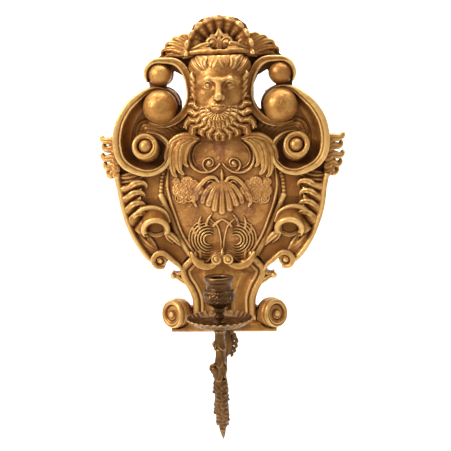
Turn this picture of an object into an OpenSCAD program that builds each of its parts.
// Carved and gilded wall plate with a cast candle arm on a hinge pin.
// Every module is drawn in millimetres with x to the right, the wall plane at y = 0, the front towards -y
// and z = 0 at the foot of the plate. The last step moves the origin to the hanging hole.
// "Depth" means the distance in front of the wall. "Lift" is the depth at which a carved piece starts.

/* [Carved plate] */
// Height of the carved plate, from the base rail to the top of the shell
plate_h = 466; // [380:2:560]
// Width of the carved plate over the tips of the side leaves
plate_w = 360; // [300:2:440]
// Thickness of the backboard that the carved pieces are glued to
board_t = 16; // [12:1:24]
// Glue gap between neighbouring carved pieces
glue_gap = 0.4; // [0.3:0.1:0.8]

/* [Scrolls and balls] */
// Width of the outer C-scroll
rim_w = 12; // [9:0.5:15]
// Relief of the outer C-scroll above the backboard
rim_rise = 32; // [22:1:40]
// Width of the strap that flanks the mask
strap_w = 12; // [9:0.5:14]
// Relief of the strap above the backboard
strap_rise = 28; // [18:1:36]
// Radius of the lower, larger ball
lower_ball_r = 25; // [20:0.5:29]
// Radius of the upper, smaller ball
upper_ball_r = 17; // [13:0.5:20]
// Radius of the round knob inside the C-scroll
knob_r = 19; // [15:0.5:22]
// Relief of the knob above the backboard
knob_rise = 38; // [28:1:46]
// Radius of the foot volutes
foot_r = 21.5; // [18:0.5:24]

/* [Panels] */
// Relief of the middle of the domed field above the backboard
field_rise = 20; // [14:1:28]
// Relief of the waist panel above the backboard
waist_rise = 14; // [10:1:20]
// Depth of the mask in front of the backboard, without its nose
mask_rise = 66; // [50:1:80]

/* [Hanging plate] */
// Height of the hanging hole above the foot of the plate
hang_z = 372; // [300:2:372]
// Radius of the hanging hole
hang_hole_r = 4.5; // [3:0.25:6]
// Thickness of the iron hanging plate
hang_t = 2.5; // [2:0.25:4]

/* [Hinge of the arm] */
// Height of the middle of the hinge above the foot of the plate
hinge_z = 34; // [30:1:40]
// Distance of the hinge axis in front of the waist panel
hinge_out = 17; // [14:0.5:22]
// Radius of the hinge pin
pin_r = 3; // [2.5:0.25:4]
// Length of the arm's barrel
barrel_h = 16; // [12:1:20]
// Radial clearance of the barrel on the pin
hinge_fit = 0.06; // [0.03:0.01:0.1]

/* [Candle arm] */
// Distance of the candle in front of the wall
reach = 155; // [140:1:185]
// Radius of the arm's tube
arm_r = 6; // [5:0.25:7.5]
// Height of the top of the arm above the foot of the plate
arm_top = 36; // [28:1:46]
// Depth of the pendant tip below the foot of the plate
tip_drop = 141; // [120:1:160]
// Radius of the leaf sleeves round the arm
husk_r = 10; // [8.5:0.25:12]

/* [Drip pan and nozzle] */
// Radius of the drip pan
pan_r = 46.5; // [38:0.5:52]
// Depth of the pan's dish
pan_dish = 8; // [6:0.5:11]
// Thickness of the pan's metal
pan_t = 1.6; // [1.2:0.1:2.4]
// Radius of the candle's bore
candle_r = 11; // [9:0.25:13]
// Depth of the candle's bore
candle_depth = 28; // [20:1:34]
// Wall of the candle cup at its neck
cup_wall = 6.5; // [4:0.25:8]
// Radius of the spindle that holds the pan and the nozzle
spindle_r = 3; // [2.5:0.25:3.5]
// Height of the spindle above the pan
spindle_h = 15; // [10:1:17]
// Radial clearance of the pan and the nozzle on the spindle
spindle_fit = 0.06; // [0.03:0.01:0.1]

/* [Hidden] */
$fn = 48;
SIDES = ["left", "right"];
PAIRED = ["crest_leaf", "brow_strap", "upper_ball", "lower_ball", "outer_rim", "scoop_panel",
    "knob_roll",
          "side_leaf", "husk_band", "hollow_roll", "hook_scroll", "foot_volute"];

// The carver's drawing is 360 wide and 466 high. at() takes a point of it to the plate's own size.
function at(x, z) = [x * plate_w / 360, z * plate_h / 466];
lower_c = at(86.5, 336.5);
rim_over_ball = 3.6;
upper_c = [lower_c[0], lower_c[1] + lower_ball_r + rim_over_ball + upper_ball_r];
knob_c = at(109, 277);
roll_c = at(99, 163);
roll_r = 21;
roll_bore = 13.5;
hook_c = at(92.5, 110);
hook_r = 9.5;
foot_c = [at(70.5, 0)[0], foot_r + 5.5];
rail_h = 15;
rail_rise = 22;
waist_front = board_t + waist_rise;
dowel_r = 3;
dowel_end = 4;
screw_r = 1.9;
screw_head_r = 3.8;
screw_hole_r = 2;
hinge_depth = waist_front + hinge_out;
ear_t = 4;
ear_gap = 0.3;
bracket_w = 22;
bracket_t = 3;
bracket_h = barrel_h + 2 * (ear_gap + ear_t) + 16;
barrel_r = pin_r + 3.5;
saucer_h = 6;
pan_z = arm_top + saucer_h;
pan_floor = pan_z + pan_t;
cup_r = candle_r + cup_wall;
stem_h = 22;
cup_z = pan_floor + stem_h;
cup_floor = 16;

// Curves ------------------------------------------------------------------------------------------------
function mix(a, b, t) = a + (b - a) * t;
// A value at share t of a list of values spaced evenly, or the value itself
function along(v, t) = is_list(v)
    ? let (s = t * (len(v) - 1), i = min(floor(s), len(v) - 2)) mix(v[i], v[i + 1], s - i)
    : v;
function polar(c, r, a) = c + r * [cos(a), sin(a)];
function arc(c, r, from, to, steps = 6) = [for (i = [0:steps])
    polar(c, along(r, i / steps), mix(from, to, i / steps))];
// A smooth curve through the points p, with n steps to a span
function curve(p, n = 3) = concat(
    [for (i = [0:len(p) - 2]) for (j = [0:n - 1])
        let (t = j / n, a = p[max(i - 1, 0)], b = p[i], c = p[i + 1], d = p[min(i + 2, len(p) - 1)])
        0.5 * (2 * b + (c - a) * t + (2 * a - 5 * b + 4 * c - d) * t * t + (3 * b - a - 3 * c + d)
            * t * t * t)],
    [p[len(p) - 1]]);
function across(p, i) =
    let (d = p[min(i + 1, len(p) - 1)] - p[max(i - 1, 0)]) [-d[1], d[0]] / norm(d);
// The outline of a band of width w round the path p
function band(p, w) = let (n = len(p) - 1) concat(
    [for (i = [0:n]) p[i] + across(p, i) * along(w, i / n) / 2],
    [for (i = [n:-1:0]) p[i] - across(p, i) * along(w, i / n) / 2]);
// A whole outline from its right-hand half, which starts at the top and ends at the foot
function whole(p) = concat(p, [for (i = [len(p) - 1:-1:0]) [-p[i][0], p[i][1]]]);
function grown(w, by) = is_list(w) ? [for (x = w) x + by] : w + by;

// Ways of raising a shape -------------------------------------------------------------------------------
module on_side(side) mirror([side == "left" ? 1 : 0, 0, 0]) children();
module both_sides() for (side = SIDES) on_side(side) children();
// Raises a flat outline in x and z from depth "lift" by "rise"
module relief(lift, rise) translate([0, -lift, 0]) rotate([90, 0, 0]) linear_extrude(rise) children();
// A turned piece whose axis points out of the wall, with its profile drawn as [radius, depth]
module turned(c) translate([c[0], 0, c[1]]) rotate([90, 0, 0]) rotate_extrude() children();
// A peg or hole of radius r at point c, between two depths
module peg(c, r, from, to) relief(from, to - from) translate(c) circle(r);
// A straight round-bottomed groove from a to b, cut at the given depth
module groove(a, b, r, depth, far_r = 0) translate([a[0], -depth, a[1]])
    rotate([0, atan2(b[0] - a[0], b[1] - a[1]), 0]) cylinder(norm(b - a), r, max(r, far_r));
// A crowned member carved along the path p
module bar(p, w, lift, rise) {
    section = [[-0.5, 0], [-0.5, 0.5], [-0.3, 0.88], [0, 1], [0.3, 0.88], [0.5, 0.5], [0.5, 0]];
    m = len(section);
    n = len(p);
    points = [for (i = [0:n - 1]) let (q = across(p, i), t = i / (n - 1)) for (s = section)
        let (side = s[0] * along(w, t)) [p[i][0] + q[0] * side, -lift - s[1] * along(rise, t),
            p[i][1] + q[1] * side]];
    walls = [for (i = [0:n - 2]) for (j = [0:m - 1]) let (a = i * m + j, b = i * m + (j + 1) % m)
        each [[a, b, b + m], [a, b + m, a + m]]];
    start = [for (j = [1:m - 2]) [0, j + 1, j]];
    end = [for (j = [1:m - 2]) [0, j, j + 1] + (n - 1) * m * [1, 1, 1]];
    polyhedron(points, concat(walls, start, end));
}

// Paths of the right-hand members -----------------------------------------------------------------------
strap_path = curve(concat(
    arc(upper_c, upper_ball_r + 4, -20, 95, 5),
    [at(61, 400), at(49, 387), at(42.5, 368), at(42.5, 348), at(49, 330)],
    arc(lower_c, lower_ball_r + 1, 228, 285, 3)), 2);
strap_wide = concat([4, 6, 7], [for (i = [0:6]) strap_w], [strap_w - 2, 5]);
rim_path = curve(concat(
    arc(lower_c, lower_ball_r + 1.8, 172, 75, 5),
    [at(118, 349), at(134, 337), at(146, 316), at(150.5, 292), at(148, 268), at(140, 253),
        at(126, 243)],
    [at(108, 239.5), at(90, 242)],
    arc(knob_c, knob_r + 17, 217, 180, 2),
    arc(knob_c, [knob_r + 14, knob_r + 5], 158, 100, 2)), 2);
rim_wide = concat([3, 3.2, 3.4, 7], [for (i = [0:9]) rim_w], [rim_w - 2, 5]);
curl_path = curve([at(45, 119), at(38, 109), at(25, 102), at(14, 105), at(9, 113)], 3);
curl_wide = [5, 10, 12, 10, 9];
crest_path = curve([at(4, 416), at(12, 411.5), at(26, 411), at(43, 411), at(55, 413), at(64, 417)], 2);
crest_wide = [5, 7, 8, 8, 7, 3];
hook_path = curve(concat([at(62, 92), at(66, 103)], arc(hook_c, hook_r + 3.5, 135, 0, 5)), 2);
hook_wide = [5, 7, 7, 7, 6, 4];
drop_path = curve([at(40, 291), at(53, 283), at(62, 268), at(65, 252), at(64.5, 237)], 3);
drop_wide = [5, 13, 17, 19, 17, 13];
husk_path = [for (t = [0:0.05:1]) mix(mix(at(134, 238), at(137, 208), t),
    mix(at(137, 208), at(117, 151), t), t)];
husk_wide = [34, 33, 32, 30, 26, 20];

// Outlines of the right-hand panels ---------------------------------------------------------------------
side_edge = curve([at(72, 109), at(82, 120), at(93, 97.5), at(107, 104), at(121, 118.5), at(134, 140),
                   at(143, 163), at(150, 187), at(154.5, 214), at(157, 238)], 2);
hole_path = [at(68, 387), at(54, 379), at(48, 366), at(48, 345), at(54, 332), at(62.5, 328)];
waist_edge = curve([at(50, 24), at(47, 36), at(47.5, 48), at(53, 63), at(60, 77), at(58, 92),
    at(50, 108)], 2);
field_edge = curve([at(44, 118), at(60, 143.5), at(72, 174), at(80, 201), at(84, 225), at(82, 231)], 2);

module ball_print(extra = 0) for (b = [[lower_c, lower_ball_r], [upper_c, upper_ball_r]])
    translate(b[0]) circle(b[1] + extra);
module knob_print(extra = 0) translate(knob_c) circle(knob_r + extra);
module strap_print(extra = 0) polygon(band(strap_path, grown(strap_wide, 2 * extra)));
module rim_print(extra = 0) polygon(band(rim_path, grown(rim_wide, 2 * extra)));
module crest_print(extra = 0) polygon(band(crest_path, grown(crest_wide, 2 * extra)));
module husk_print(extra = 0) polygon(band(husk_path, grown(husk_wide, 2 * extra)));
module hook_print(extra = 0) {
    polygon(band(hook_path, grown(hook_wide, 2 * extra)));
    translate(hook_c) circle(hook_r + extra);
}
module roll_print(extra = 0) translate(roll_c) circle(roll_r + extra);
module mask_outline(extra = 0) {
    jaw = [at(44, 324), at(54, 308), at(42, 297), at(22, 289), at(2, 286.5)];
    polygon(whole(concat([at(33, 407), at(37, 398), at(35.5, 372), at(35.5, 346)], jaw)));
    if (extra > 0) mirrored() polygon(band(concat(jaw, [at(-2, 286.5)]), 2 * extra));
}
module drop_print(extra = 0) polygon(band(drop_path, grown(drop_wide, 2 * extra)));
module field_seam() polygon(band(concat(field_edge, [at(82, 240)]), 2 * glue_gap));
module strip_outline() polygon([at(84, 190), at(110, 188), at(121, 233), at(83.5, 240)]);
module mirrored() for (m = [0, 1]) mirror([m, 0]) children();

// Carved pieces -----------------------------------------------------------------------------------------
module board_outline() difference() {
    polygon(whole(concat(
        [at(12, 464), at(26, 461), at(38, 452), at(43, 440), at(50, 436), at(62, 434), at(73, 428),
            at(80, 417)],
        arc(upper_c, upper_ball_r + 3, 60, -20),
        curve([at(104, 361), at(121, 354), at(137, 340), at(148, 324), at(155, 300)], 2),
        [for (i = [len(side_edge) - 1:-1:0]) side_edge[i]],
        [at(62, 92), at(72, 84), at(56, 72), at(46, 52), at(46, 34)],
        arc(foot_c, foot_r - 3, 160, -90),
        [[foot_c[0] - 18, 2]])));
    // The opening between the strap and the balls stops at the seat of the lower ball.
    mirrored() difference() {
        polygon(concat(hole_path, [at(72, 332), at(84, 350), at(80, 366)]));
        translate(lower_c) circle(lower_ball_r + rim_over_ball);
        translate(upper_c) circle(upper_ball_r);
    }
}
module backboard() color("burlywood") difference() {
    relief(0, board_t) board_outline();
    relief(-1, hang_t + 1) hang_outline(glue_gap / 2);
    peg([0, hang_z], hang_hole_r + 4, -1, 12);
    hang_places() peg([0, 0], screw_hole_r, hang_t, 11);
    bracket_places() peg([0, 0], screw_hole_r, 8, board_t + 1);
    dowels(dowel_end);
}
module field_panel() color("goldenrod") intersection() {
    relief(board_t, field_rise + 1) difference() {
        polygon(whole(concat([at(1, 292), at(46, 292), at(66, 256)],
            [for (i = [len(field_edge) - 1:-1:0]) field_edge[i]], [at(26, 119), at(1, 121)])));
        mirrored() {
            rim_print(glue_gap);
            drop_print(glue_gap);
        }
        mask_outline(glue_gap);
    }
    dome_r = 600;
    translate([0, dome_r - board_t - field_rise, at(0, 205)[1]]) sphere(dome_r, $fn = 720);
}
module acanthus_drops() color("khaki") both_sides() difference() {
    bar(drop_path, drop_wide, board_t, [12, 19, 22, 22, 18]);
    relief(board_t - 1, 60) {
        rim_print(glue_gap);
        mask_outline(glue_gap);
    }
}
module waist_panel() color("goldenrod") difference() {
    relief(board_t, waist_rise) difference() {
        polygon(whole(concat([at(1, 120) - [0, glue_gap], at(26, 118) - [0, glue_gap], at(44, 117)
            - [0, glue_gap]],
            [for (i = [len(waist_edge) - 1:-1:0]) waist_edge[i]],
                [[at(50, 0)[0], rail_h + glue_gap]])));
        mirrored() {
            hook_print(glue_gap);
            translate(foot_c) circle(foot_r + glue_gap);
        }
    }
    bracket_places() peg([0, 0], screw_hole_r, board_t - 1, waist_front + 1);
}
module base_rail() color("goldenrod") intersection() {
    profile = concat([[board_t, 0], [board_t, rail_h]], [[board_t + 6, rail_h]],
        arc([board_t + 6, rail_h / 2 - 1], [rail_h / 2 + 1, rail_rise - 6], 90, 0, 6),
            [[board_t + rail_rise, 3], [board_t + rail_rise - 4, 0]]);
    translate([-plate_w / 2, 0, 0]) rotate([90, 0, 90]) linear_extrude(plate_w) mirror([1, 0])
        polygon(profile);
    relief(board_t, rail_rise) difference() {
        translate([-foot_c[0] - 8, 0]) square([2 * foot_c[0] + 16, rail_h]);
        mirrored() translate(foot_c) circle(foot_r + glue_gap);
        // The lower end of the arm's bracket is let into the rail.
        translate([-bracket_w / 2 - glue_gap, hinge_z - bracket_h / 2 - glue_gap])
            square([bracket_w + 2 * glue_gap, bracket_h]);
    }
}
module foot_volute() color("gold") intersection() {
    relief(board_t, 60) translate(foot_c) circle(foot_r);
    translate([foot_c[0], -board_t - 11, foot_c[1]]) rotate([90, 0, 38]) rotate_extrude()
        polygon([[0, -60], [foot_r + 4, -60], [foot_r + 4, 8], [foot_r - 2, 14], [foot_r - 7, 14],
            [foot_r - 9, 8], [9, 8], [8, 14], [0, 18]]);
}
module waist_buds() color("gold") both_sides() relief(board_t, 12) difference() {
    polygon(curve([at(58, 76), at(70, 79), at(77, 80), at(79, 86), at(74, 90), at(69, 89),
        at(64, 93)], 2));
    polygon(concat(waist_edge, [at(40, 106), at(40, 24)]));
    polygon(band(waist_edge, 2 * glue_gap));
    hook_print(glue_gap);
}
module hook_scroll() color("gold") {
    difference() {
        bar(hook_path, hook_wide, board_t, [18, 24, 28, 28, 24]);
        relief(board_t - 1, 60) translate(hook_c) circle(hook_r);
    }
    turned(hook_c) polygon(concat([[0, board_t], [hook_r, board_t]],
        arc([hook_r - 6, board_t + 20], 6, 0, 90, 4), [[0, board_t + 26]]));
}
module hollow_roll() color("gold") difference() {
    turned(roll_c) polygon(concat([[0, board_t], [roll_r, board_t]],
        arc([(roll_r + roll_bore) / 2, board_t + 26], (roll_r - roll_bore) / 2, 0, 180, 6),
            [[roll_bore, board_t + 6], [0, board_t + 6]]));
    relief(board_t + 6, 60) translate([roll_c[0] - 12, roll_c[1] - 40]) square([30, 30]);
    relief(board_t - 1, 60) husk_print(glue_gap);
}
module lower_flares() color("goldenrod") both_sides() relief(board_t, 14) difference() {
    polygon(concat(side_edge, [at(134, 236), at(128, 205), at(118, 176), at(100, 172), at(86, 178),
        at(83, 188)],
        [at(80, 200), at(73, 174), at(61, 143.5), at(48, 122), at(55, 110)]));
    hook_print(glue_gap);
    roll_print(glue_gap);
    husk_print(glue_gap);
    field_seam();
}
module flute_strips() color("goldenrod") both_sides() difference() {
    relief(board_t, 10) difference() {
        strip_outline();
        husk_print(glue_gap);
        roll_print(glue_gap);
        rim_print(glue_gap);
        drop_print(glue_gap);
        field_seam();
    }
    for (i = [-1:1]) groove(at(97 + 5 * i, 180), at(102 + 7 * i, 250), 2, board_t + 10);
}
module husk_band() color("gold") difference() {
    steps = len(husk_path) - 1;
    bar(husk_path, husk_wide, board_t, [for (i = [0:steps]) 17 + 7 * (1 - (i % 4) / 3)]);
    relief(board_t - 1, 60) rim_print(glue_gap);
}
module scoop_panel() color("darkgoldenrod") relief(board_t, 6) difference() {
    polygon(concat([at(48, 322), at(58, 300), at(48, 296), at(70, 262)],
        [at(92, 243), at(128, 245), at(148, 268)],
        [at(149, 300), at(140, 330), at(120, 346), at(100, 330)]));
    rim_print(glue_gap);
    strap_print(glue_gap);
    knob_print(glue_gap);
    ball_print(glue_gap);
    drop_print(glue_gap);
    mask_outline(glue_gap);
}
module knob_roll() color("gold") difference() {
    top = board_t + knob_rise;
    turned(knob_c) polygon(concat([[0, board_t], [knob_r, board_t], [knob_r - 1, top - 5]],
        arc([knob_r - 3.5, top - 4], 3.5, 0, 180, 5), [[knob_r - 8, top - 7]],
            arc([0, top - 6], 7.5, 0, 90, 5)));
    dowels(0);
}
module ball(c, r) color("gold") difference() {
    turned(c) intersection() {
        translate([0, board_t + r * 0.9]) circle(r);
        translate([0, board_t]) square([2 * r, 2 * r]);
    }
    dowels(0);
}
module lower_ball() ball(lower_c, lower_ball_r);
module upper_ball() ball(upper_c, upper_ball_r);
module outer_rim() color("gold") difference() {
    bar(rim_path, rim_wide, board_t, [for (i = [0:20]) rim_rise * (i < 4 ? 0.75 : i > 17 ? 0.8 : 1)]);
    relief(board_t - 1, 80) {
        ball_print(glue_gap);
        knob_print(glue_gap);
    }
}
module brow_strap() color("gold") difference() {
    bar(strap_path, strap_wide, board_t, strap_rise);
    relief(board_t - 1, 80) {
        ball_print(glue_gap);
        rim_print(glue_gap);
        mask_outline(glue_gap);
    }
}
module mask() color("peru") difference() {
    intersection() {
        relief(board_t, mask_rise + 16) difference() {
            mask_outline();
            mirrored() {
                crest_print(glue_gap);
                strap_print(glue_gap);
            }
        }
        union() {
            translate([0, -board_t - 8, at(0, 280)[1]]) cylinder(plate_h / 3.5, 38, 38);
            translate([0, 43 - board_t - mask_rise, at(0, 366)[1]]) sphere(43);
            translate([0, 42 - board_t - mask_rise, at(0, 325)[1]]) sphere(42);
            translate([-5, -board_t - mask_rise - 9, at(0, 341)[1]])
                rotate([90, 0, 90]) linear_extrude(10) polygon([[0, 0], [24, 0], [24, 26], [10, 26]]);
        }
    }
    dowels(0);
}
module shell_outline() intersection() {
    union() {
        for (i = [0:6]) translate(polar(at(0, 424), 31, 90 + (i - 3) * 27)) circle(10.5);
        translate(at(0, 424)) circle(33);
    }
    translate(at(-60, 411)) square(at(120, 60));
}
module crest_shell() color("goldenrod") difference() {
    intersection() {
        relief(board_t, 40) difference() {
            shell_outline();
            mirrored() {
                crest_print(glue_gap);
                leaf_print(glue_gap);
            }
        }
        translate([0, 58 - board_t - 34, at(0, 424)[1]]) sphere(58, $fn = 120);
    }
    for (i = [0:5]) let (a = 90 + (i - 2.5) * 27)
        groove(polar(at(0, 418), 8, a), polar(at(0, 424), 50, a), 1, board_t + 33 - abs(i - 2.5), 4.5);
}
module leaf_print(extra = 0) polygon(concat(
    [at(44.5, 414) - [extra, 0], at(44.5, 438) - [extra, 0]],
    [at(52, 434), at(56, 437), at(60, 432), at(68, 434), at(70, 427), at(78, 426), at(78, 419),
        at(84, 415.5)],
    [at(76, 410), at(64, 410)]));
module crest_leaf() color("goldenrod") relief(board_t, 18) difference() {
    leaf_print();
    crest_print(glue_gap);
    strap_print(glue_gap);
    ball_print(glue_gap);
}
module crest_scrolls() color("gold") both_sides() difference() {
    bar(crest_path, crest_wide, board_t, [34, 36, 34, 28, 24, 16]);
    relief(board_t - 1, 80) {
        strap_print(glue_gap);
        translate([-20, 0]) square([20 + glue_gap / 2, plate_h]);
    }
}
module base_curls() color("gold") both_sides() intersection() {
    bar(curl_path, curl_wide, waist_front, 11);
    relief(board_t, 80) difference() {
        polygon(concat([[glue_gap / 2, 0], at(60, 0)], [at(60, 117), at(47, 117), at(26, 118),
            [glue_gap / 2, at(0, 120)[1]]]));
        polygon(band(field_edge, 2 * glue_gap));
    }
}
// Feather tips: each is a curved tongue that leaves the edge of the board and turns up at its end
module side_leaf() color("goldenrod") relief(4, 12) intersection() {
    union() {
        for (tip = [[180, 292, 298], [177, 279, 284], [180, 264, 270], [176, 252, 257],
            [171, 240, 245]])
            polygon(curve([at(155, tip[2]), at(168, tip[2] + 1), at(tip[0] - 5, tip[1] + 2),
                at(tip[0], tip[1] - 2),
                           at(tip[0] - 6, tip[1] - 5), at(155, tip[2] - 16)], 2));
        translate(at(150, 236)) square(at(9, 62));
    }
    translate([at(157, 0)[0] + glue_gap / 2, at(0, 225)[1]]) square(at(60, 90));
}
// The pegs that place the balls, the knobs and the mask, grown at both ends for their holes
module dowels(start, extra = 0) {
    both_sides() {
        peg(lower_c, dowel_r, start, board_t + lower_ball_r);
        peg(upper_c, dowel_r, start, board_t + upper_ball_r * 0.8);
        peg(knob_c, dowel_r, start, board_t + 16);
    }
    for (z = [318, 362]) peg(at(0, z), dowel_r, start, board_t + 20);
}
module locating_dowels() color("tan") dowels(dowel_end);

// Metalwork ---------------------------------------------------------------------------------------------
module hang_outline(extra = 0) translate([0, hang_z]) square([56 + 2 * extra, 22 + 2 * extra],
    center = true);
module hang_places() for (x = [-19, 19]) translate([x, 0, hang_z]) children();
module countersink(from, out) translate([0, -from, 0]) rotate([90 * out, 0, 0])
    cylinder(screw_head_r - screw_r, screw_head_r, screw_r);
// A countersunk wood screw that enters at depth "from" and points to the wall (out = -1) or away from it (1)
module screw(from, out, length) {
    countersink(from, out);
    translate([0, -from, 0]) rotate([90 * out, 0, 0]) cylinder(length, screw_r, screw_r);
}
module hanging_plate() color("dimgray") difference() {
    relief(0, hang_t) hang_outline();
    peg([0, hang_z], hang_hole_r, -1, hang_t + 1);
    hang_places() {
        countersink(0, 1);
        peg([0, 0], screw_r, -1, hang_t + 1);
    }
}
module hanging_screws() color("gray") hang_places() screw(0, 1, 10);
module bracket_places() for (s = [-1, 1]) translate([0, 0, hinge_z + s * (bracket_h / 2 - 4.5)])
    children();
module bracket_ears() for (s = [-1, 1])
    translate([0, 0, hinge_z + s * (barrel_h / 2 + ear_gap + ear_t / 2)]) children();
module arm_bracket() color("saddlebrown") difference() {
    union() {
        relief(waist_front, bracket_t) translate([-bracket_w / 2, hinge_z - bracket_h / 2])
            square([bracket_w, bracket_h]);
        bracket_ears() {
            translate([-barrel_r, -hinge_depth, -ear_t / 2]) cube([2 * barrel_r, hinge_out - 1, ear_t]);
            translate([0, -hinge_depth, 0]) cylinder(ear_t, barrel_r, barrel_r, center = true);
        }
    }
    translate([0, -hinge_depth, hinge_z - bracket_h]) cylinder(2 * bracket_h, pin_r, pin_r);
    bracket_places() {
        countersink(waist_front + bracket_t, -1);
        peg([0, 0], screw_r, waist_front - 1, waist_front + bracket_t + 1);
    }
}
module bracket_screws() color("gray") bracket_places() screw(waist_front + bracket_t, -1,
    bracket_t + waist_rise + 7);
module hinge_pin() color("gray") {
    half = barrel_h / 2 + ear_gap + ear_t;
    translate([0, -hinge_depth, hinge_z - half - 2]) cylinder(2 * half + 2, pin_r, pin_r);
    translate([0, -hinge_depth, hinge_z + half]) cylinder(2.5, pin_r + 2, pin_r + 0.5);
}

// The arm's line lies in the middle plane. Its points are [depth, height].
elbow_r = 12;
elbow = [hinge_depth + 2, hinge_z - elbow_r];
leg_depth = elbow[0] + elbow_r;
sweep_r = 32;
sweep_z = -16;
sweep_c = [leg_depth + sweep_r, sweep_z];
rise_angle = 30;
bow_r = 233;
bow_c = [reach - bow_r, arm_top - 34];
function bow_angle(z) = asin((bow_c[1] - z) / bow_r);
// A piece of round tube bent round c, between two angles in the plane of depth and height
module bend(c, big, r, from, to) translate([0, -c[0], c[1]]) rotate([0, 0, -90]) rotate([90, 0, 0])
    rotate([0, 0, from]) rotate_extrude(angle = to - from, $fn = 96) translate([big, 0]) circle(r);
module rod(from, to, r0, r1) {
    d = to - from;
    translate([0, -from[0], from[1]]) rotate([atan2(d[0], d[1]), 0, 0]) cylinder(norm(d), r0, r1);
}
// How far a straight length of the arm runs on, a hair thinner, into the bends at its ends
root = 4;
module bow(r, top, bottom) bend(bow_c, bow_r, r, -bow_angle(bottom), -bow_angle(top));
module arm_line() {
    thin = arm_r - 1;
    rod([reach, arm_top], [reach, bow_c[1] - root], arm_r + 1, arm_r - 0.3);
    bow(arm_r, bow_c[1], husk_low);
    bend(elbow, elbow_r, thin, 0, 90);
    rod([leg_depth, elbow[1] + root / 2], [leg_depth, sweep_z - root], thin - 0.3, thin - 0.3);
    bend(sweep_c, sweep_r, thin, 180, 270 + rise_angle);
    along_leg = [cos(rise_angle), sin(rise_angle)];
    start = polar(sweep_c, sweep_r, 270 + rise_angle) - root * along_leg;
    rod(start, start + along_leg * (reach - 3 - start[0]) / along_leg[0], thin - 0.3, thin - 0.3);
}
module arm_branch() color("saddlebrown") difference() {
    union() {
        arm_line();
        translate([0, -hinge_depth, hinge_z - barrel_h / 2]) cylinder(barrel_h, barrel_r, barrel_r);
    }
    translate([0, -hinge_depth, hinge_z - barrel_h]) cylinder(2 * barrel_h, pin_r + hinge_fit,
        pin_r + hinge_fit);
    translate([0, -reach, arm_top - 12]) cylinder(30, spindle_r, spindle_r);
}
module arm_saucer() color("sienna") difference() {
    translate([0, -reach, arm_top]) rotate_extrude()
        polygon(concat([[0, 0], [arm_r + 1, 0]], arc([arm_r + 1, saucer_h - 0.5], [5, 9], -90, 0,
            5), [[arm_r + 10, saucer_h], [0, saucer_h]]));
    translate([0, -reach, arm_top - 1]) cylinder(30, spindle_r, spindle_r);
}
module candle_spindle() color("gray")
    translate([0, -reach, arm_top - 12]) cylinder(12 + saucer_h + pan_t + spindle_h, spindle_r,
        spindle_r);
module husk(top, bottom) difference() {
    bow(husk_r, top, bottom);
    bow(arm_r, top + 5, bottom - 5);
}
husk_top = -36;
husk_mid = husk_top - 34;
husk_low = -(tip_drop - 33);
module arm_husk_upper() color("sienna") husk(husk_top, husk_mid + 0.2);
module arm_husk_lower() color("sienna") husk(husk_mid - 0.2, husk_low);
module arm_tail() color("saddlebrown") {
    a = bow_angle(husk_low);
    start = polar(bow_c, bow_r, -a);
    rod(start, start + [-sin(a), -cos(a)] * (tip_drop + husk_low) / cos(a), arm_r + 1, 1);
}
module arm_bud() color("sienna")
    translate([-arm_r, -polar(bow_c, bow_r, -bow_angle(-22))[0], -22]) rotate([0, -90, 0])
        rotate_extrude()
        intersection() {
            translate([0, 3.5]) circle(6.5);
            square([10, 12]);
        }
module arm_leaf() color("sienna") difference() {
    for (s = [[9, 2, 8], [14, -8, 6.5], [11, -19, 5.5]]) translate([s[0], -leg_depth, s[1]])
        sphere(s[2]);
    rod([leg_depth, elbow[1]], [leg_depth, sweep_z], arm_r - 1, arm_r - 1);
    bend(sweep_c, sweep_r, arm_r - 1, 180, 270);
}
module drip_pan() color("saddlebrown") difference() {
    translate([0, -reach, pan_z]) rotate_extrude($fn = 96) polygon(concat(
        [[0, 0], [pan_r - 12, 0]],
        [for (i = [1:5]) [pan_r - 12 + 9.5 * sin(18 * i), (pan_dish + pan_t - 2.5)
            * (1 - cos(18 * i))]],
        arc([pan_r - 1.25, pan_dish + pan_t - 1.25], 1.25, -60, 180, 6),
        [for (i = [5:-1:1]) [pan_r - 13.5 + 9.5 * sin(18 * i), pan_t + (pan_dish + pan_t - 2.5)
            * (1 - cos(18 * i))]],
        [[pan_r - 13.5, pan_t], [0, pan_t]]));
    translate([0, -reach, pan_z - 1]) cylinder(30, spindle_r + spindle_fit, spindle_r + spindle_fit);
}
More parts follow.
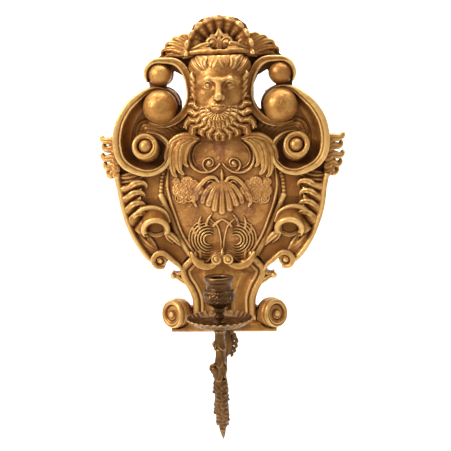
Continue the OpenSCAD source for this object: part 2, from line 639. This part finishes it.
module nozzle_stem() color("saddlebrown") difference() {
    translate([0, -reach, pan_floor]) rotate_extrude() polygon(concat(
        [[0, 0], [9, 0], [9, 2], [5.2, 5]],
        arc([5.2, 10], [2.5, 2.5], -90, 90, 6), [[5, 14.5], [8, 17], [8, stem_h], [0, stem_h]]));
    translate([0, -reach, pan_floor - 1]) cylinder(spindle_h + 2, spindle_r + spindle_fit,
        spindle_r + spindle_fit);
}
module nozzle_cup() color("saddlebrown") difference() {
    bulb = cup_r + 4.7;
    translate([0, -reach, cup_z]) rotate_extrude($fn = 96) polygon(concat(
        [[0, 0], [8, 0]],
        curve([[8, 0], [bulb - 6, 5], [bulb, 17], [bulb - 1, 22.5]], 4),
        [[cup_r - 0.5, 26], [cup_r - 0.5, cup_floor + candle_depth - 8.5]],
        arc([cup_r + 1.2, cup_floor + candle_depth - 3.6], 3.6, -110, 90, 8),
        [[0, cup_floor + candle_depth]]));
    translate([0, -reach, cup_z + cup_floor]) cylinder(candle_depth + 1, candle_r, candle_r);
}

// Placing -----------------------------------------------------------------------------------------------
module paired(name) {
    if (name == "crest_leaf") crest_leaf();
    if (name == "brow_strap") brow_strap();
    if (name == "upper_ball") upper_ball();
    if (name == "lower_ball") lower_ball();
    if (name == "outer_rim") outer_rim();
    if (name == "scoop_panel") scoop_panel();
    if (name == "knob_roll") knob_roll();
    if (name == "side_leaf") side_leaf();
    if (name == "husk_band") husk_band();
    if (name == "hollow_roll") hollow_roll();
    if (name == "hook_scroll") hook_scroll();
    if (name == "foot_volute") foot_volute();
}
translate([0, 0, -hang_z]) {
    for (name = PAIRED) for (side = SIDES) on_side(side) paired(name);
    backboard();
    field_panel();
    waist_panel();
    base_rail();
    mask();
    crest_shell();
    crest_scrolls();
    acanthus_drops();
    flute_strips();
    lower_flares();
    base_curls();
    waist_buds();
    locating_dowels();
    hanging_plate();
    hanging_screws();
    arm_bracket();
    bracket_screws();
    hinge_pin();
    arm_branch();
    arm_saucer();
    candle_spindle();
    arm_husk_upper();
    arm_husk_lower();
    arm_tail();
    arm_bud();
    arm_leaf();
    drip_pan();
    nozzle_cup();
    nozzle_stem();
}
